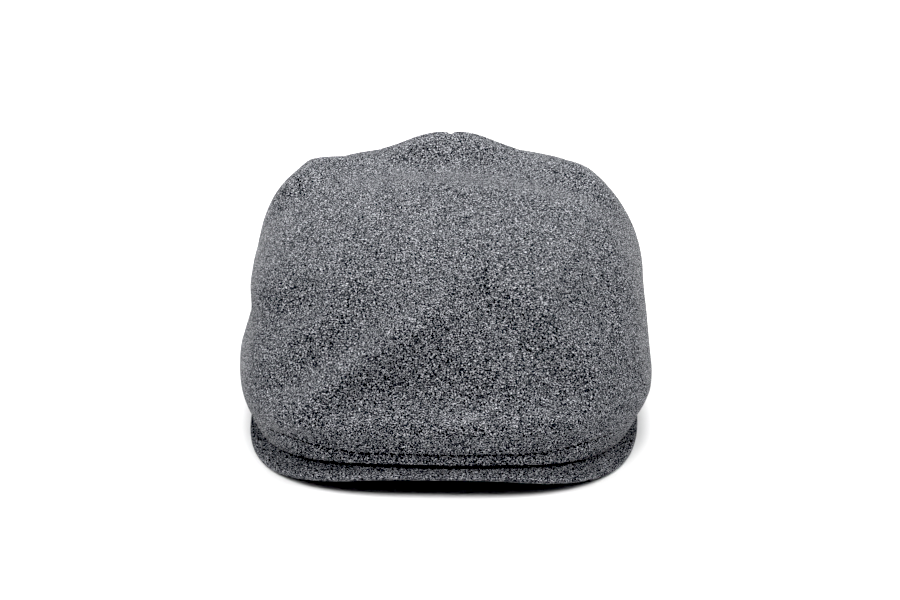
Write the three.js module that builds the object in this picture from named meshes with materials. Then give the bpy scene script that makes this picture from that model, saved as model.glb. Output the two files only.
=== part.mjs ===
// Flat cap of grey melange wool: a soft crown sewn from a top panel and two side panels, pulled
// forward over a short stiff peak. Millimetres, +Z up. The cap faces -Y, and the origin lies on the
// surface that the cap rests on, at the middle of the cap's box.
import * as THREE from "three";

// Driving sizes
const WALL = 2.2; // crown cloth with its fused backing
const FRONT_HEM = 3.2; // the turned-under front edge of the top panel
const GAP = 0.3; // between neighbouring pieces
const SEAM_ANGLE = 98; // the side seams, in degrees round from the front
const SEAM = { depth: 1.0, halfWidth: 5 }; // the groove that a seam pulls in the cloth

// The stitched line above the front edge: it climbs towards the cap's corners and ends there
const STITCH = {
  inset: { middle: 4.4, end: 11.4, fromAngle: 20, toAngle: 50 },
  fade: { fromAngle: 45, toAngle: 55 },
  depth: 0.7,
  halfWidth: 2,
};

// The peak: its outer edge goes past the crown's front edge, and its inner edge is an oval inside the crown
const PEAK = {
  endAngle: 86,
  thickness: { middle: 2.6, end: 2, power: 6 },
  slope: { middle: 0.2, end: 0.04, power: 2 },
  arch: { height: 7.5, fromAngle: 10, toAngle: 53 }, // the outer edge bends down to the surface
  outerEdge: { frontY: -132.2, widestY: -20, halfWidth: 92.6, frontPower: 3.4 },
  innerEdge: { frontY: -82, widestY: -20, halfWidth: 80, frontPower: 2.2 },
};
const FRONT_LIFT = { middle: 1.8, end: 0.4, power: 1.5 }; // the front edge stands off the peak

// Rings of the crown from the rim up: eggs in plan, each with its heights at front, side and back
const RINGS = [
  ["hem", -127.6, 115, -20, 92, 2.6, 2.2, 0, 0, 0],
  ["roll", -122, 130, -14, 97.6, 3.1, 2.4, 30.5, 20, 24],
  ["waist", -108, 131, -5, 96.5, 3.1, 2.5, 52.5, 46, 50],
  ["brow", -80, 115, 10, 91, 2.8, 2.5, 82, 71, 80],
  ["crest", -8, 86, 36, 68, 2.4, 2.3, 101.5, 94.5, 92],
].map(([name, frontY, backY, widestY, halfWidth, frontPower, backPower, frontZ, sideZ, backZ]) => ({
  name, frontY, backY, widestY, halfWidth, frontPower, backPower, frontZ, sideZ, backZ,
}));
const APEX = new THREE.Vector3(0, 54, 101); // where the three panels meet
const APEX_FROM = 0.9; // the share of the way from the hem where the apex starts

// Folds and dents along a line, drawn in the view that shows it: top is x and y, front is x and z, and
// left and right are y and z. Ridges have a positive lift and valleys a negative one.
const FOLDS = [
  ["apex", "top", -12, 54, 12, 54, 24, 5.6],
  ["left seam ridge", "top", -12, 53, -30, 46, 17, 1.8],
  ["right seam ridge", "top", 12, 53, 32, 46, 17, 1.8],
  ["left shoulder", "top", -66, 37, -78, 18, 20, 7.6],
  ["right shoulder", "top", 62, 37, 75, 20, 19, 5.2],
  ["crest left", "top", -69, 18, -16, -12, 12, 1.4],
  ["crest right", "top", -16, -11, 70, -8, 12, 1.8],
  ["dip behind crest", "top", -36, 22, 50, 14, 18, -2.6],
  ["hollow before apex", "top", -12, 30, 14, 30, 18, -3],
  ["back seam ridge", "top", 0, 60, 0, 88, 24, 4.2],
  ["behind left seam", "top", -34, 72, -60, 62, 18, -3.4],
  ["behind right seam", "top", 36, 74, 66, 58, 18, -3],
  ["left side notch", "left", -56, 49, 40, 43, 15, -3.4],
  ["left upper side", "left", 14, 80, 30, 80, 18, 1.6],
  ["right upper side", "right", 5, 68, 25, 68, 22, 1.4],
  ["right lower side", "right", -70, 22, -50, 22, 20, 1.8],
  ["long left fold", "front", -74, 26, -4, 71, 11, 3],
  ["valley above it", "front", -72, 41, -26, 81, 15, -4.4],
  ["valley below it", "front", -42, 39, -18, 49, 12, -3.6],
  ["middle valley", "front", -8, 43, 22, 41, 12, -2.6],
  ["upper left valley", "front", -80, 57, -63, 71, 13, -3.4],
  ["upper left fold", "front", -80, 44, -50, 68, 9, 1.6],
  ["right valley", "front", 22, 74, 54, 42, 15, -4.4],
  ["right fold", "front", 50, 70, 70, 43, 12, 1.2],
  ["upper right bulge", "top", 61, -34, 72, -27, 15, 1.6],
  ["upper right valley", "front", 59, 71, 77, 66, 13, -3.8],
  ["front roll", "front", -62, 28, 66, 30, 11, 4.4],
].map(([name, view, fromAcross, fromUp, toAcross, toUp, halfWidth, lift]) => ({
  name,
  view,
  from: new THREE.Vector2(fromAcross, fromUp),
  to: new THREE.Vector2(toAcross, toUp),
  halfWidth,
  lift,
}));
const VIEWS = {
  top: { across: "x", up: "y", shows: () => true },
  front: { across: "x", up: "z", shows: (angle) => Math.abs(angle) < SEAM_ANGLE },
  left: { across: "y", up: "z", shows: (angle) => angle < 0 },
  right: { across: "y", up: "z", shows: (angle) => angle > 0 },
};
const UP = new THREE.Vector3(0, 0, 1);

// Mesh steps: between one ring and the next from the roll up, below the roll, and round each panel
const RING_STEPS = [5, 7, 7, 5];
const ROLL_STEPS = 3; // from the stitched line's upper side to the roll
const TOP_STEPS = 52;
const SIDE_STEPS = 14;
const PEAK_STEPS = 32;
const PEAK_TUCK_STEPS = 6;
const PEAK_NOSE_STEPS = 4;

const CLOTH_COLOR = 0x6a6b70;

const radians = THREE.MathUtils.degToRad;
const mix = THREE.MathUtils.lerp;

// A bump that falls smoothly from 1 at distance 0 to 0 at halfWidth
function bump(distance, halfWidth) {
  return distance < halfWidth ? Math.cos((Math.PI / 2) * (distance / halfWidth)) ** 2 : 0;
}

// A ring's plan point at an angle from the front, positive towards +X
function ringPlan(ring, angle) {
  const across = Math.sin(radians(angle));
  const along = Math.cos(radians(angle));
  const power = along > 0 ? ring.frontPower : ring.backPower;
  const reach = along > 0 ? ring.frontY - ring.widestY : ring.widestY - ring.backY;
  const round = (Math.abs(across) ** power + Math.abs(along) ** power) ** (-1 / power);
  return new THREE.Vector2(ring.halfWidth * across * round, ring.widestY + reach * along * round);
}

// Height round a ring, between its front, side and back heights
function ringHeight(ring, angle) {
  const along = Math.cos(radians(angle));
  return mix(ring.sideZ, along > 0 ? ring.frontZ : ring.backZ, along * along);
}

// Outward plan direction of the hem
function hemOutward(angle) {
  const step = 0.5;
  const along = ringPlan(RINGS[0], angle + step).sub(ringPlan(RINGS[0], angle - step)).normalize();
  return new THREE.Vector2(along.y, -along.x);
}

// A peak size at an angle, from its value at the middle to its value at the ends
function peakSize(size, angle) {
  const share = Math.min(Math.abs(angle) / PEAK.endAngle, 1);
  return mix(size.middle, size.end, share ** size.power);
}

// How far the peak's outer edge goes past the crown's front edge
function peakLip(angle) {
  const turned = THREE.MathUtils.clamp(angle, -PEAK.endAngle, PEAK.endAngle);
  return ringPlan(PEAK.outerEdge, turned).distanceTo(ringPlan(RINGS[0], turned));
}

// Heights of the peak's two faces, a distance in from the crown's front edge
function peakUnderside(angle, inset) {
  const bend = THREE.MathUtils.smoothstep(Math.abs(angle), PEAK.arch.fromAngle, PEAK.arch.toAngle);
  return mix(PEAK.arch.height, 0, bend) + peakSize(PEAK.slope, angle) * (inset + peakLip(angle));
}

function peakTop(angle, inset) {
  return peakUnderside(angle, inset) + peakSize(PEAK.thickness, angle);
}

// 1 where the crown's front edge lies over the peak, fading to 0 at the side seams
function frontShare(angle) {
  return 1 - THREE.MathUtils.smoothstep(Math.abs(angle), PEAK.endAngle + 1, SEAM_ANGLE - 1);
}

// The hem lies over the peak at the front, a distance in from its edge, and on the surface at the
// sides and back
function hemHeight(angle, inset) {
  return frontShare(angle) * (peakTop(angle, inset) + GAP + peakSize(FRONT_LIFT, angle));
}

// The smooth crown at an angle from the front, from the hem at t = 0 to the apex at t = 1
const ribs = new Map();
function crownBase(angle, t) {
  if (!ribs.has(angle)) {
    const points = RINGS.map((ring, level) => {
      const plan = ringPlan(ring, angle);
      return new THREE.Vector3(plan.x, plan.y, level === 0 ? hemHeight(angle, 0) : ringHeight(ring, angle));
    });
    const crest = RINGS.at(-1);
    const beyond = ringPlan(crest, angle + 180);
    points.push(APEX, new THREE.Vector3(beyond.x, beyond.y, ringHeight(crest, angle + 180)));
    ribs.set(angle, new THREE.CatmullRomCurve3(points, false, "centripetal"));
  }
  return ribs.get(angle).getPoint((t * RINGS.length) / (RINGS.length + 1));
}

// How far round the crown one degree goes
function widthOfDegree(angle, t) {
  return crownBase(angle + 0.5, t).distanceTo(crownBase(angle - 0.5, t));
}

// Outward normal of a surface of angle and t, which turns straight up towards the apex
function outwardNormal(surface, angle, t) {
  const turn = 0.5;
  const step = 0.002;
  const top = Math.min(t, 1 - 4 * step);
  const round = surface(angle + turn, top).sub(surface(angle - turn, top));
  const along = surface(angle, top + step).sub(surface(angle, Math.max(top - step, 0)));
  const normal = round.cross(along).normalize();
  return normal.lerp(UP, THREE.MathUtils.smoothstep(t, APEX_FROM, 1)).normalize();
}

// The move that the folds give a point of the cloth: straight up where they are drawn from the top,
// and along the surface's normal elsewhere
function foldMove(angle, point, normal) {
  const move = new THREE.Vector3();
  for (const fold of FOLDS) {
    const view = VIEWS[fold.view];
    if (view.shows(angle)) {
      const spot = new THREE.Vector2(point[view.across], point[view.up]);
      const run = fold.to.clone().sub(fold.from);
      const share = spot.clone().sub(fold.from).dot(run) / run.lengthSq();
      const nearest = fold.from.clone().addScaledVector(run, THREE.MathUtils.clamp(share, 0, 1));
      const lift = fold.lift * bump(spot.distanceTo(nearest), fold.halfWidth);
      move.addScaledVector(fold.view === "top" ? UP : normal, lift);
    }
  }
  return move;
}

// The groove along the side seams and the back seam
function seamDepth(angle, t) {
  const turned = Math.abs(angle);
  const nearestSeam = Math.min(Math.abs(turned - SEAM_ANGLE), Math.abs(180 - turned));
  return SEAM.depth * bump(nearestSeam * widthOfDegree(angle, t), SEAM.halfWidth);
}

// How far the stitched line lies above the crown's edge
function stitchInset(angle) {
  const { middle, end, fromAngle, toAngle } = STITCH.inset;
  return mix(middle, end, THREE.MathUtils.smoothstep(Math.abs(angle), fromAngle, toAngle));
}

// The groove along the stitched line
function stitchDepth(angle, point) {
  const fromLine = point.distanceTo(crownBase(angle, 0)) - stitchInset(angle);
  const fade = THREE.MathUtils.smoothstep(Math.abs(angle), STITCH.fade.fromAngle, STITCH.fade.toAngle);
  return (1 - fade) * STITCH.depth * bump(Math.abs(fromLine), STITCH.halfWidth);
}

// The crown's outer face, with its folds and grooves
function crownSkin(angle, t) {
  const point = crownBase(angle, t);
  const normal = outwardNormal(crownBase, angle, t);
  const clearOfHem = THREE.MathUtils.smoothstep(t, 0, 1 / RINGS.length);
  const move = foldMove(angle, point, normal).addScaledVector(normal, -seamDepth(angle, t));
  move.multiplyScalar(clearOfHem).addScaledVector(normal, -stitchDepth(angle, point));
  return point.add(move);
}

// The crown's inner face: a wall's thickness in, and no lower than the hem's flat underside
function crownLining(angle, t) {
  const wall = mix(WALL, FRONT_HEM, frontShare(angle) * bump(t, 1 / RINGS.length));
  const outward = hemOutward(angle);
  const level = new THREE.Vector3(outward.x, outward.y, 0);
  const lining = crownSkin(angle, t);
  lining.addScaledVector(t > 0 ? outwardNormal(crownSkin, angle, t) : level, -wall);
  const inset = crownBase(angle, 0).sub(lining).dot(level);
  lining.z = Math.max(lining.z, hemHeight(angle, inset));
  return lining;
}

// A closed body through loops of points that all have the same count, capped at both ends. The first
// half's squares are split along the other diagonal, so that both halves mirror each other.
function loft(loops) {
  const count = loops[0].length;
  const positions = loops.flat().flatMap((point) => [point.x, point.y, point.z]);
  const index = [];
  for (let k = 0; k + 1 < loops.length; k += 1) {
    const firstHalf = k + 1 < loops.length / 2;
    for (let j = 0; j < count; j += 1) {
      const a = k * count + j;
      const b = k * count + ((j + 1) % count);
      const [c, d] = [a + count, b + count];
      index.push(...(firstHalf ? [a, c, d, a, d, b] : [a, c, b, b, c, d]));
    }
  }
  const last = (loops.length - 1) * count;
  for (let j = 0; j + 1 < count / 2; j += 1) {
    const k = count - 1 - j;
    index.push(j, j + 1, k, k, j + 1, k - 1);
    index.push(last + j, last + k, last + j + 1, last + k, last + k - 1, last + j + 1);
  }
  const geometry = new THREE.BufferGeometry();
  geometry.setAttribute("position", new THREE.Float32BufferAttribute(positions, 3));
  geometry.setIndex(index);
  geometry.computeVertexNormals();
  return geometry;
}

// Evenly spaced values that start at from and stop short of to
function evenSteps(from, to, count) {
  return Array.from({ length: count }, (_, k) => mix(from, to, k / count));
}

// Values of t from the hem to just short of the apex, with rows on and beside the stitched line
function ribSteps(angle) {
  const tipGap = 0.003;
  const span = crownBase(angle, 0).distanceTo(crownBase(angle, 1 / RINGS.length));
  const on = stitchInset(angle) / span;
  const reach = STITCH.halfWidth / span;
  const steps = [0, on - reach, on, ...evenSteps(on + reach, 1, ROLL_STEPS)];
  RING_STEPS.forEach((count, level) => steps.push(...evenSteps(level + 1, level + 2, count)));
  return [...steps.map((step) => step / RINGS.length), 1 - tipGap];
}

// A crown panel between two seams, with half the gap left along each
function crownPanel(fromAngle, toAngle, steps) {
  const mostInset = (toAngle - fromAngle) / 4;
  const loops = [];
  for (let k = 0; k <= steps; k += 1) {
    const share = k / steps;
    const middle = mix(fromAngle, toAngle, share);
    const rows = ribSteps(middle);
    const angleAt = (t) => {
      const inset = Math.min(GAP / 2 / widthOfDegree(middle, t), mostInset);
      return mix(fromAngle + inset, toAngle - inset, share);
    };
    const outer = rows.map((t) => crownSkin(angleAt(t), t));
    const inner = rows.map((t) => crownLining(angleAt(t), t));
    loops.push([...outer, ...inner.reverse()]);
  }
  return loft(loops);
}

// The peak: closed sections across it, each with a round nose at the outer edge
function peak() {
  const loops = [];
  for (let k = 0; k <= PEAK_STEPS; k += 1) {
    const angle = mix(-PEAK.endAngle, PEAK.endAngle, k / PEAK_STEPS);
    const outer = ringPlan(PEAK.outerEdge, angle);
    const inner = ringPlan(PEAK.innerEdge, angle);
    const inward = inner.clone().sub(outer).normalize();
    const lip = peakLip(angle);
    const tuck = inner.distanceTo(outer) - lip;
    const radius = peakSize(PEAK.thickness, angle) / 2;
    const at = (inset, rise) => {
      const plan = outer.clone().addScaledVector(inward, lip + inset);
      return new THREE.Vector3(plan.x, plan.y, peakUnderside(angle, inset) + rise);
    };
    const under = [];
    const over = [];
    for (let j = 0; j <= PEAK_TUCK_STEPS; j += 1) {
      const inset = mix(tuck, radius - lip, j / PEAK_TUCK_STEPS);
      under.push(at(inset, 0));
      over.push(at(inset, 2 * radius));
    }
    for (let j = 1; j < PEAK_NOSE_STEPS; j += 1) {
      const turn = (Math.PI * j) / (2 * PEAK_NOSE_STEPS);
      const inset = radius - lip - radius * Math.sin(turn);
      under.push(at(inset, radius - radius * Math.cos(turn)));
      over.push(at(inset, radius + radius * Math.cos(turn)));
    }
    loops.push([...under, ...over.reverse()]);
  }
  return loft(loops);
}

function piece(name, geometry) {
  const cloth = new THREE.MeshStandardMaterial({ color: CLOTH_COLOR, roughness: 0.95, metalness: 0 });
  const mesh = new THREE.Mesh(geometry, cloth);
  mesh.name = name;
  return mesh;
}

const cap = new THREE.Group();
cap.add(
  piece("top_panel", crownPanel(-SEAM_ANGLE, SEAM_ANGLE, TOP_STEPS)),
  piece("side_panel_right", crownPanel(SEAM_ANGLE, 180, SIDE_STEPS)),
  piece("side_panel_left", crownPanel(-180, -SEAM_ANGLE, SIDE_STEPS)),
  piece("peak", peak()),
);

const box = new THREE.Box3().setFromObject(cap);
const middle = box.getCenter(new THREE.Vector3());
cap.position.set(-middle.x, -middle.y, -box.min.z);

export default cap;
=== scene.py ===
import math

import bpy
import numpy as np
from mathutils import Matrix, Vector, noise
from mathutils.bvhtree import BVHTree


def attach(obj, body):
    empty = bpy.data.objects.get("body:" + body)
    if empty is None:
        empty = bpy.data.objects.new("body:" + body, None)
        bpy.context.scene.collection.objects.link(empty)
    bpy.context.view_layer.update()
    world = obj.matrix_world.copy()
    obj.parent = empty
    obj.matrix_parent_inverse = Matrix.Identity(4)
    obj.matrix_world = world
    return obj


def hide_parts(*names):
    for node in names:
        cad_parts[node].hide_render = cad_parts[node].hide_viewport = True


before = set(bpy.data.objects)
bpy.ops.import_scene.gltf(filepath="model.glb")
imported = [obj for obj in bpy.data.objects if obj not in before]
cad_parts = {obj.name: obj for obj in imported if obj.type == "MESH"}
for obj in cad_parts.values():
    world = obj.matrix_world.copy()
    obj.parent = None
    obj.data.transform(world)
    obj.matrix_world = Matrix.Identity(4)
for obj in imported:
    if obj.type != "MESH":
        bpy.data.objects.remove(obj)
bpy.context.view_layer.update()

bl_info = {
    "name": "Flat cap",
    "version": (1, 0, 0),
    "blender": (4, 5, 0),
    "location": "3D View > Sidebar > Flat cap",
    "description": "A soft flat cap of grey melange wool, sewn from three panels over a short peak",
    "category": "Add Mesh",
}

MM = 0.001
BODY = "root"
CROWN_PANELS = ("top_panel", "side_panel_left", "side_panel_right")

# The soft cloth made from each solid
MERGE_WITHIN = 0.002 * MM
SHARP_ANGLE = math.radians(50)  # edges sharper than this stay crisp
EDGE_CREASE = 0.45
SOFT_LEVELS = 2
HEART = Vector((0, 10, 20)) * MM  # the cloth swells away from this point inside the crown

# Soft unevenness of the cloth: size of a swell and its height
SWELLS = ((34 * MM, 0.5 * MM), (15 * MM, 0.28 * MM), (7 * MM, 0.09 * MM))
SWELL_CLEAR = (2 * MM, 16 * MM)  # no swell at the rim, full swell above

# The back seam: how far in from its edge the cloth gives, half the gap that stays, and the seam's groove
SEAM_PULL = 6 * MM
SEAM_GAP = 0.01 * MM
SEAM_GROOVE = (2.5 * MM, 1.2 * MM)  # half its width and its depth

# Folds that stand out more in soft cloth than in the solid, as seen from the front: the two ends of each
# fold's line across and up, half its width and its height, in millimetres
FOLDS = (
    ("long left fold", (-72, 27), (-6, 72), 9, 2.6),
    ("front roll", (-60, 29), (64, 31), 9, 1.8),
    ("right fold", (48, 70), (66, 47), 9, 1.3),
    ("valley beside it", (16, 77), (52, 45), 9, -0.9),
    ("upper left valley", (-86, 55), (-60, 73), 9, -1.9),
    ("upper right valley", (69, 86), (74, 66), 9, -1.9),
)

# The front edge: the middle of its curve, and the curve's half width and reach to the front in millimetres
HEM_MIDDLE = Vector((0, -20, 0)) * MM
HEM_REACH = (92, 107.6)

# The stitched line, with its angles in degrees from the front, as the top panel's groove has them
STITCH_HALF_ANGLE = 50
STITCH_STEP = 0.5
STITCH_CLIMB = (20, 50)  # where the line starts and ends its climb to the corners
STITCH_FADE = 12  # the angle over which the groove fades in at each end
CLIMB_STEP = 0.1 * MM  # step of the walk up the cloth from the front edge
STITCH_RISE = 0.1  # share of the thread's thickness that its middle stands above the cloth

# The wool
TUFT_STRETCH = (0.7, 1, 1)  # tufts and flecks are longer across the cap
WARP = 0.5  # how strongly the curls bend the rows of tufts
FLECK_RANGE = (0.3, 0.7)  # the noise values that are spread from dark to light
FLECK_SHARE = 0.65  # the flecks' share of the tone, the rest being chance
TONES = (0.28, 0.58, 0.9)  # where the dark, middle and light fibres lie along the tone
NAP_SIZE = 1.2  # the nap's size in tufts
NAP_HEIGHT = 0.5 * MM
THREAD_FUZZ = 0.4 * MM  # size of the thread's fuzz
THREAD_TONES = (0.35, 0.7)  # where the thread's shaded and plain colours lie along the fuzz
THREAD_SHADE = 0.5  # the shaded colour's share of the plain one

# Soft boxes: name, place and size in metres, and power in watts
LIGHT_AIM = (0, 0, 0.05)
LIGHTS = (
    ("overhead_light", (0, -0.15, 1.2), (1.0, 1.0), 13),
    ("left_light", (-1.1, 0, 0.9), (0.8, 0.8), 16),
    ("right_light", (1.1, 0, 0.9), (0.8, 0.8), 14),
    ("back_light", (0, 0.8, 1.0), (0.8, 0.8), 18),
    ("front_fill", (0, -1.3, 0.05), (1.2, 0.08), 7),
)
FLOOR_WIDTH = 6  # metres
BLACK_LEVEL = 0.035  # tones below this are black, as the photograph's shadows are
CAMERA_TARGET = Vector((1.2, 0, 41.5)) * MM
SENSOR_WIDTH = 36  # millimetres


def linear(code):
    """Linear RGBA of an sRGB hex colour."""
    parts = [int(code[k:k + 2], 16) / 255 for k in (1, 3, 5)]
    return tuple(c / 12.92 if c <= 0.04045 else ((c + 0.055) / 1.055) ** 2.4 for c in parts) + (1.0,)


def smoothstep(value, low, high):
    """0 below low, 1 above high and smooth between them."""
    share = min(max((value - low) / (high - low), 0), 1)
    return share * share * (3 - 2 * share)


def add_node(tree, kind, inputs=None, **settings):
    """A node with its settings, its inputs' values and its links."""
    node = tree.nodes.new(kind)
    for name, value in settings.items():
        setattr(node, name, value)
    for name, value in (inputs or {}).items():
        if isinstance(value, bpy.types.NodeSocket):
            tree.links.new(value, node.inputs[name])
        else:
            node.inputs[name].default_value = value
    return node


class ClothSettings(bpy.types.PropertyGroup):
    """The wool cloth."""

    dark: bpy.props.FloatVectorProperty(
        name="Dark fibres", description="Colour of the darkest wool in the mix",
        subtype="COLOR", size=4, min=0, max=1, default=linear("#060607"))
    middle: bpy.props.FloatVectorProperty(
        name="Middle fibres", description="Colour of most of the wool in the mix",
        subtype="COLOR", size=4, min=0, max=1, default=linear("#3f4146"))
    light: bpy.props.FloatVectorProperty(
        name="Light fibres", description="Colour of the lightest wool in the mix",
        subtype="COLOR", size=4, min=0, max=1, default=linear("#d7d8dd"))
    tuft: bpy.props.FloatProperty(
        name="Tuft", description="Width of the light and dark tufts of fibre",
        unit="LENGTH", default=0.24 * MM)
    fleck: bpy.props.FloatProperty(
        name="Fleck", description="Size of the flecks that the tufts gather in",
        unit="LENGTH", default=0.5 * MM)
    curl: bpy.props.FloatProperty(
        name="Curl", description="Size of the curls that the fibres make",
        unit="LENGTH", default=2.4 * MM)


class StitchSettings(bpy.types.PropertyGroup):
    """The stitched line above the front edge."""

    inset: bpy.props.FloatProperty(
        name="Inset", description="From the front edge up to the line, at the middle",
        unit="LENGTH", default=4.4 * MM)
    corner_inset: bpy.props.FloatProperty(
        name="Corner inset", description="From the front edge up to the line, at its ends",
        unit="LENGTH", default=11.4 * MM)
    length: bpy.props.FloatProperty(
        name="Stitch", description="Length of one stitch that shows", unit="LENGTH", default=3.0 * MM)
    gap: bpy.props.FloatProperty(
        name="Gap", description="From one stitch to the next", unit="LENGTH", default=0.8 * MM)
    thickness: bpy.props.FloatProperty(
        name="Thread", description="Thickness of the thread", unit="LENGTH", default=0.7 * MM)
    groove_depth: bpy.props.FloatProperty(
        name="Groove depth", description="How far the thread pulls the cloth in",
        unit="LENGTH", default=1.1 * MM)
    groove_width: bpy.props.FloatProperty(
        name="Groove width", description="Half the width that the thread pulls in",
        unit="LENGTH", default=1.3 * MM)
    # The thread is drawn near black, far darker than the grey wool it is stitched into: its colour is partly
    # the thread's own and partly painted shade of the groove it lies in
    colour: bpy.props.FloatVectorProperty(
        name="Thread colour", description="Colour of the thread",
        subtype="COLOR", size=4, min=0, max=1, default=linear("#0e0e10"))


class StageSettings(bpy.types.PropertyGroup):
    """Floor, lights and camera."""

    floor: bpy.props.FloatVectorProperty(
        name="Floor", description="Colour of the floor",
        subtype="COLOR", size=4, min=0, max=1, default=linear("#f0f0f0"))
    azimuth: bpy.props.FloatProperty(
        name="Azimuth", description="Camera's angle round the cap from the front",
        subtype="ANGLE", default=math.radians(1.5))
    elevation: bpy.props.FloatProperty(
        name="Elevation", description="Camera's angle above the floor",
        subtype="ANGLE", default=math.radians(22))
    distance: bpy.props.FloatProperty(
        name="Distance", description="From the camera to the cap", unit="LENGTH", default=1.2)
    lens: bpy.props.FloatProperty(
        name="Lens", description="Focal length in millimetres", unit="CAMERA", default=97.92)


def select_only(piece):
    """Deselects everything else."""
    bpy.ops.object.select_all(action="DESELECT")
    piece.select_set(True)
    bpy.context.view_layer.objects.active = piece


def cloth_from_node(node):
    """A node's form as one soft quad mesh of its own."""
    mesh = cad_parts[node].data.copy()
    mesh.materials.clear()
    piece = bpy.data.objects.new(node + "_cloth", mesh)
    bpy.context.collection.objects.link(piece)
    select_only(piece)
    bpy.ops.mesh.customdata_custom_splitnormals_clear()
    bpy.ops.object.mode_set(mode="EDIT")
    bpy.ops.mesh.select_mode(type="EDGE")
    bpy.ops.mesh.select_all(action="SELECT")
    bpy.ops.mesh.remove_doubles(threshold=MERGE_WITHIN)
    bpy.ops.mesh.tris_convert_to_quads(face_threshold=math.pi, shape_threshold=math.pi)
    bpy.ops.mesh.select_all(action="DESELECT")
    bpy.ops.mesh.edges_select_sharp(sharpness=SHARP_ANGLE)
    bpy.ops.transform.edge_crease(value=EDGE_CREASE)
    bpy.ops.object.mode_set(mode="OBJECT")
    subdivision = piece.modifiers.new("Soft cloth", "SUBSURF")
    subdivision.levels = SOFT_LEVELS
    subdivision.render_levels = SOFT_LEVELS
    bpy.ops.object.modifier_apply(modifier=subdivision.name)
    bpy.ops.object.shade_smooth()
    return piece


def points_of(piece):
    """The piece's points, one row each."""
    points = np.empty(len(piece.data.vertices) * 3)
    piece.data.vertices.foreach_get("co", points)
    return points.reshape(-1, 3)


def set_points(piece, points):
    """Moves the piece's points there."""
    piece.data.vertices.foreach_set("co", points.ravel())
    piece.data.update()


def fold_lift(spot):
    """How far the front's folds lift the cloth there."""
    seen = Vector((spot.x, spot.z)) / MM
    lift = 0
    for _, start, end, half_width, height in FOLDS:
        run = Vector(end) - Vector(start)
        share = (seen - Vector(start)).dot(run) / run.length_squared
        away = (seen - Vector(start) - run * min(max(share, 0), 1)).length
        lift += height * math.cos(min(away / half_width, 1) * math.pi / 2) ** 2
    return lift * MM


def swell(piece):
    """Gives the cloth its folds and soft unevenness, the same on both of its faces."""
    points = points_of(piece)
    for row, point in enumerate(points):
        spot = Vector(point)
        share = smoothstep(spot.z, *SWELL_CLEAR)
        lift = sum(height * noise.noise(spot / size) for size, height in SWELLS)
        if spot.y < HEM_MIDDLE.y:  # the folds lie on the front alone
            lift += fold_lift(spot)
        points[row] = spot + (spot - HEART).normalized() * (share * lift)
    set_points(piece, points)


def draw_seam_together(piece):
    """Draws a side panel's back edge in and up to the middle, where it is sewn to the other panel."""
    half_width, depth = SEAM_GROOVE
    points = points_of(piece)
    away = np.abs(points[:, 0])
    near = (points[:, 1] > 0) & (away < SEAM_PULL)
    gap = away[near].min() - SEAM_GAP
    inward = np.array(HEART) - points[near]
    inward /= np.linalg.norm(inward, axis=1)[:, None]
    sunk = depth * np.cos(np.minimum(away[near] / half_width, 1) * math.pi / 2) ** 2
    above_rim = np.clip(points[near, 2] / SWELL_CLEAR[1], 0, 1)
    points[near] += inward * (sunk * above_rim)[:, None]
    points[near, 0] -= np.sign(points[near, 0]) * gap * (1 - away[near] / SEAM_PULL)
    set_points(piece, points)


def surface_of(piece):
    """A tree for ray casts on the piece."""
    mesh = piece.data
    return BVHTree.FromPolygons([v.co for v in mesh.vertices], [p.vertices for p in mesh.polygons])


def front_point(surface, angle, height):
    """The crown's outer face at an angle from the front and a height, or None under its edge."""
    out = Vector((HEM_REACH[0] * math.sin(angle), -HEM_REACH[1] * math.cos(angle), 0)) * MM
    start = HEM_MIDDLE + 2 * out + Vector((0, 0, height))  # well outside the cloth
    reach = 1.6 * out.length  # stops short of the middle
    hit, normal, _, _ = surface.ray_cast(start, -out.normalized(), reach)
    return (hit, normal) if hit else None


def point_above_edge(surface, angle, inset):
    """The point that lies that far up the cloth from its front edge."""
    height = 0
    while front_point(surface, angle, height) is None:
        height += CLIMB_STEP
    spot, normal = front_point(surface, angle, height)
    climbed = 0
    while climbed < inset:
        height += CLIMB_STEP
        above, normal = front_point(surface, angle, height)
        climbed += (above - spot).length
        spot = above
    return spot, normal


def stitch_line(surface, settings):
    """Points and normals along the stitched line, from left to right, at even angles."""
    line = []
    for degree in np.arange(-STITCH_HALF_ANGLE, STITCH_HALF_ANGLE + STITCH_STEP / 2, STITCH_STEP):
        climb = smoothstep(abs(degree), *STITCH_CLIMB)
        inset = settings.inset + climb * (settings.corner_inset - settings.inset)
        line.append(point_above_edge(surface, math.radians(degree), inset))
    return line


def pull_groove(piece, line, settings):
    """Pulls the cloth in along the stitched line."""
    points = points_of(piece)
    path = np.array([spot for spot, _ in line])
    normals = np.array([normal for _, normal in line])
    furthest = path.max(axis=0) + 2 * settings.groove_width
    near = np.where((points[:, 1] < furthest[1]) & (points[:, 2] < furthest[2]))[0]
    for row in near:
        away = np.linalg.norm(path - points[row], axis=1)
        nearest = away.argmin()
        share = min(away[nearest] / settings.groove_width, 1)
        ends = min(nearest, len(line) - 1 - nearest)
        fade = smoothstep(ends * STITCH_STEP, 0, STITCH_FADE)
        depth = settings.groove_depth * fade * math.cos(share * math.pi / 2) ** 2
        points[row] -= normals[nearest] * depth
    set_points(piece, points)


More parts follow.
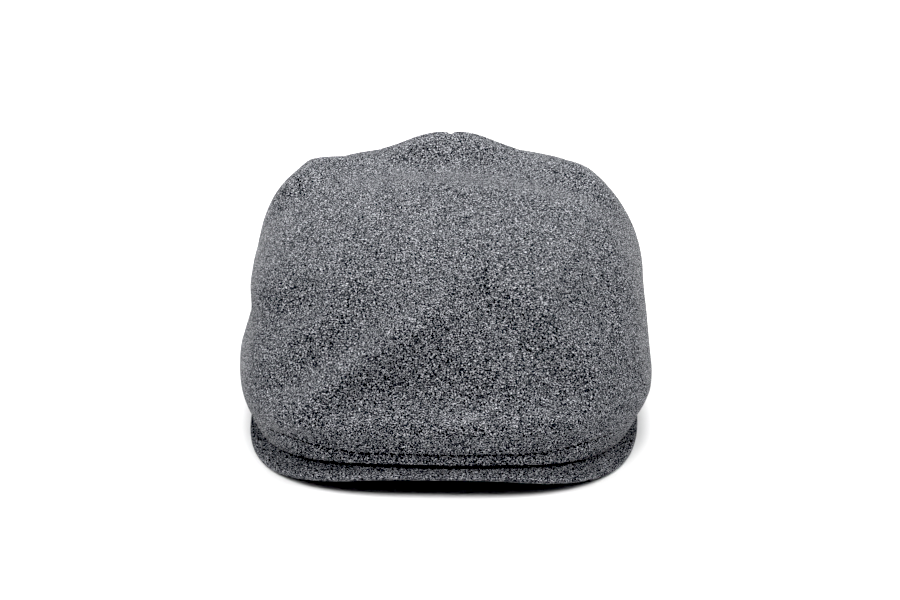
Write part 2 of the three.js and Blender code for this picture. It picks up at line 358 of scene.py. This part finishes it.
def wool_cloth(settings):
    """Melange wool cloth, milled and brushed: light and dark fibres are mixed before spinning, so the eye
    sees short curled specks of both. The brushed nap has no gloss, and pales where it is seen along."""
    material = bpy.data.materials.get("Melange wool cloth")
    if material:
        return material
    material = bpy.data.materials.new("Melange wool cloth")
    material.use_nodes = True
    tree = material.node_tree
    tree.nodes.clear()
    place = add_node(tree, "ShaderNodeTexCoord").outputs["Object"]
    # A soft warp bends the rows of tufts, so they run as curled fibres do
    drift = add_node(tree, "ShaderNodeTexNoise", {
        "Vector": place, "Scale": 1 / settings.curl, "Detail": 1.0, "Roughness": 0.5})
    turned = add_node(tree, "ShaderNodeVectorMath", {
        0: drift.outputs["Color"], 1: (-0.5, -0.5, -0.5)}, operation="ADD")
    bent = add_node(tree, "ShaderNodeVectorMath", {
        0: turned.outputs["Vector"], 1: [WARP * settings.curl] * 3, 2: place}, operation="MULTIPLY_ADD")
    # Tufts of fibre, light or dark by chance, that gather in flecks. Real fibres are far finer, and are drawn
    # as tufts and flecks that show
    laid = add_node(tree, "ShaderNodeMapping", {"Vector": bent.outputs["Vector"], "Scale": TUFT_STRETCH})
    tuft = add_node(tree, "ShaderNodeTexVoronoi", {
        "Vector": laid.outputs["Vector"], "Scale": 1 / settings.tuft, "Randomness": 1.0})
    chance = add_node(tree, "ShaderNodeSeparateColor", {"Color": tuft.outputs["Color"]})
    fleck = add_node(tree, "ShaderNodeTexNoise", {
        "Vector": laid.outputs["Vector"], "Scale": 1 / settings.fleck, "Detail": 1.0, "Roughness": 0.8})
    spread = add_node(tree, "ShaderNodeMapRange", {
        "Value": fleck.outputs["Fac"], "From Min": FLECK_RANGE[0], "From Max": FLECK_RANGE[1],
        "To Min": 0.0, "To Max": FLECK_SHARE})
    tone = add_node(tree, "ShaderNodeMath", {
        0: chance.outputs["Red"], 1: 1 - FLECK_SHARE, 2: spread.outputs["Result"]}, operation="MULTIPLY_ADD")
    ramp = add_node(tree, "ShaderNodeValToRGB", {"Fac": tone.outputs["Value"]})
    stops = ramp.color_ramp.elements
    stops[0].position, stops[0].color = TONES[0], settings.dark
    stops[1].position, stops[1].color = TONES[2], settings.light
    stops.new(TONES[1]).color = settings.middle
    # The brushed nap: a low bump, and a sheen that is paler on the lighter tufts
    nap = add_node(tree, "ShaderNodeTexNoise", {
        "Vector": bent.outputs["Vector"], "Scale": 1 / (NAP_SIZE * settings.tuft),
        "Detail": 2.0, "Roughness": 0.6})
    bump = add_node(tree, "ShaderNodeBump", {
        "Height": nap.outputs["Fac"], "Strength": 0.4, "Distance": NAP_HEIGHT})
    shine = add_node(tree, "ShaderNodeMath", {
        0: tone.outputs["Value"], 1: tone.outputs["Value"]}, operation="MULTIPLY")
    shader = add_node(tree, "ShaderNodeBsdfPrincipled", {
        "Base Color": ramp.outputs["Color"], "Normal": bump.outputs["Normal"], "Roughness": 1.0,
        "Specular IOR Level": 0.0, "Sheen Weight": 0.8, "Sheen Roughness": 0.24,
        "Sheen Tint": shine.outputs["Value"]})
    add_node(tree, "ShaderNodeOutputMaterial", {"Surface": shader.outputs["BSDF"]})
    return material


def sewing_thread(settings):
    """Spun sewing thread, matt and fuzzy: short fibres are twisted together, and their ends stand off. Its
    near-black colour is partly the thread's own tone and partly painted shade of the groove that it lies in.
    """
    material = bpy.data.materials.new("Spun sewing thread")
    material.use_nodes = True
    tree = material.node_tree
    tree.nodes.clear()
    place = add_node(tree, "ShaderNodeTexCoord").outputs["Object"]
    fuzz = add_node(tree, "ShaderNodeTexNoise", {"Vector": place, "Scale": 1 / THREAD_FUZZ, "Detail": 2.0})
    ramp = add_node(tree, "ShaderNodeValToRGB", {"Fac": fuzz.outputs["Fac"]})
    stops = ramp.color_ramp.elements
    # Both thread colours come from the near-black colour, which carries painted shade of the groove
    shaded = [THREAD_SHADE * part for part in settings.colour[:3]] + [1]
    stops[0].position, stops[0].color = THREAD_TONES[0], shaded
    stops[1].position, stops[1].color = THREAD_TONES[1], settings.colour
    bump = add_node(tree, "ShaderNodeBump", {
        "Height": fuzz.outputs["Fac"], "Strength": 0.4, "Distance": 0.1 * MM})
    shader = add_node(tree, "ShaderNodeBsdfPrincipled", {
        "Base Color": ramp.outputs["Color"], "Normal": bump.outputs["Normal"], "Roughness": 0.85})
    add_node(tree, "ShaderNodeOutputMaterial", {"Surface": shader.outputs["BSDF"]})
    return material


def dress(piece, material):
    """Gives a finished piece its material and its place on the cap."""
    piece.data.materials.append(material)
    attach(piece, BODY)


class FLATCAP_OT_sew_crown(bpy.types.Operator):
    """Makes the top panel and the two side panels as soft cloth"""

    bl_idname = "flatcap.sew_crown"
    bl_label = "Sew the crown"

    def execute(self, context):
        cloth = wool_cloth(context.scene.flatcap_cloth)
        for node in CROWN_PANELS:
            piece = cloth_from_node(node)
            swell(piece)
            if node != "top_panel":
                draw_seam_together(piece)
            dress(piece, cloth)
            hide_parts(node)
        return {"FINISHED"}


class FLATCAP_OT_cover_peak(bpy.types.Operator):
    """Makes the cloth-covered peak"""

    bl_idname = "flatcap.cover_peak"
    bl_label = "Cover the peak"

    def execute(self, context):
        piece = cloth_from_node("peak")
        dress(piece, wool_cloth(context.scene.flatcap_cloth))
        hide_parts("peak")
        return {"FINISHED"}


def lay_stitches(line, settings):
    """Stitches of thread along the line, each nearly half sunk in the cloth."""
    path = [spot for spot, _ in line]
    lengths = np.concatenate(([0], np.cumsum([(b - a).length for a, b in zip(path, path[1:])])))
    pitch = settings.length + settings.gap
    count = int(lengths[-1] / pitch)
    start = (lengths[-1] - count * pitch + settings.gap) / 2
    bpy.ops.object.select_all(action="DESELECT")
    bpy.ops.mesh.primitive_uv_sphere_add(segments=8, ring_count=8, radius=0.5)
    first = bpy.context.object
    copies = []
    for k in range(count):
        middle = start + k * pitch + settings.length / 2
        row = int(np.searchsorted(lengths, middle))
        share = (middle - lengths[row - 1]) / (lengths[row] - lengths[row - 1])
        spot = path[row - 1].lerp(path[row], share)
        along = (path[row] - path[row - 1]).normalized()
        normal = line[row][1]
        side = normal.cross(along).normalized()
        up = along.cross(side)
        thick = settings.thickness
        turn = Matrix((side * thick, up * thick, along * settings.length)).transposed()
        copy = first.copy()
        copy.data = first.data.copy()
        copy.data.transform(Matrix.Translation(spot + up * STITCH_RISE * thick) @ turn.to_4x4())
        bpy.context.collection.objects.link(copy)
        copies.append(copy)
    bpy.data.objects.remove(first)
    for copy in copies:
        copy.select_set(True)
    bpy.context.view_layer.objects.active = copies[0]
    bpy.ops.object.join()
    stitches = bpy.context.object
    stitches.name = "front_stitches"
    bpy.ops.object.shade_smooth()
    return stitches


class FLATCAP_OT_stitch_front(bpy.types.Operator):
    """Pulls in the stitched line above the front edge and lays its stitches"""

    bl_idname = "flatcap.stitch_front"
    bl_label = "Stitch the front"

    def execute(self, context):
        settings = context.scene.flatcap_stitches
        crown = bpy.data.objects["top_panel_cloth"]
        line = stitch_line(surface_of(crown), settings)
        pull_groove(crown, line, settings)
        stitches = lay_stitches(stitch_line(surface_of(crown), settings), settings)
        dress(stitches, sewing_thread(settings))
        return {"FINISHED"}


def soft_light(name, place, size, power):
    """A soft box that faces the cap."""
    light = bpy.data.lights.new(name, "AREA")
    light.shape = "RECTANGLE"
    light.size, light.size_y = size
    light.energy = power
    box = bpy.data.objects.new(name, light)
    box.location = place
    box.rotation_euler = (Vector(LIGHT_AIM) - Vector(place)).to_track_quat("-Z", "Y").to_euler()
    bpy.context.collection.objects.link(box)


def lay_floor(settings):
    """A matt white board under the cap."""
    bpy.ops.object.select_all(action="DESELECT")
    bpy.ops.mesh.primitive_plane_add(size=FLOOR_WIDTH)
    floor = bpy.context.object
    floor.name = "floor"
    paint = bpy.data.materials.new("Matt white board")
    paint.use_nodes = True
    shader = paint.node_tree.nodes["Principled BSDF"]
    shader.inputs["Base Color"].default_value = settings.floor
    shader.inputs["Roughness"].default_value = 0.9
    floor.data.materials.append(paint)


def darken_room(scene):
    """All light comes from the soft boxes, and the picture keeps deep blacks."""
    world = bpy.data.worlds.new("Studio")
    world.use_nodes = True
    world.node_tree.nodes["Background"].inputs["Strength"].default_value = 0.0
    scene.world = world
    view = scene.view_settings
    view.view_transform = "Standard"
    view.use_curve_mapping = True
    view.curve_mapping.black_level = [BLACK_LEVEL] * 3
    view.curve_mapping.update()


def place_camera(scene, settings):
    """The camera at the photograph's angle."""
    level = math.cos(settings.elevation)
    across = math.sin(settings.azimuth) * level
    forward = math.cos(settings.azimuth) * level
    back = Vector((across, -forward, math.sin(settings.elevation)))
    data = bpy.data.cameras.new("photo_camera")
    data.lens = settings.lens
    data.sensor_width = SENSOR_WIDTH
    camera = bpy.data.objects.new("photo_camera", data)
    camera.location = CAMERA_TARGET + back * settings.distance
    camera.rotation_euler = (-back).to_track_quat("-Z", "Y").to_euler()
    scene.collection.objects.link(camera)
    scene.camera = camera


class FLATCAP_OT_set_stage(bpy.types.Operator):
    """Adds the floor, the soft lights and the camera"""

    bl_idname = "flatcap.set_stage"
    bl_label = "Set the stage"

    def execute(self, context):
        settings = context.scene.flatcap_stage
        lay_floor(settings)
        for name, place, size, power in LIGHTS:
            soft_light(name, place, size, power)
        darken_room(context.scene)
        place_camera(context.scene, settings)
        return {"FINISHED"}


class FLATCAP_PT_sidebar(bpy.types.Panel):
    """Lists the steps that make the cap"""

    bl_label = "Flat cap"
    bl_idname = "FLATCAP_PT_sidebar"
    bl_space_type = "VIEW_3D"
    bl_region_type = "UI"
    bl_category = "Flat cap"

    def draw(self, context):
        for step in STEPS:
            self.layout.operator(step.bl_idname)


STEPS = (FLATCAP_OT_sew_crown, FLATCAP_OT_cover_peak, FLATCAP_OT_stitch_front, FLATCAP_OT_set_stage)
CLASSES = (ClothSettings, StitchSettings, StageSettings) + STEPS + (FLATCAP_PT_sidebar,)


def register():
    for cls in CLASSES:
        bpy.utils.register_class(cls)
    bpy.types.Scene.flatcap_cloth = bpy.props.PointerProperty(type=ClothSettings)
    bpy.types.Scene.flatcap_stitches = bpy.props.PointerProperty(type=StitchSettings)
    bpy.types.Scene.flatcap_stage = bpy.props.PointerProperty(type=StageSettings)


def unregister():
    del bpy.types.Scene.flatcap_stage
    del bpy.types.Scene.flatcap_stitches
    del bpy.types.Scene.flatcap_cloth
    for cls in reversed(CLASSES):
        bpy.utils.unregister_class(cls)


def main():
    """Makes the cap and its stage."""
    register()
    bpy.ops.flatcap.sew_crown()
    bpy.ops.flatcap.cover_peak()
    bpy.ops.flatcap.stitch_front()
    bpy.ops.flatcap.set_stage()


if __name__ == "__main__":
    main()
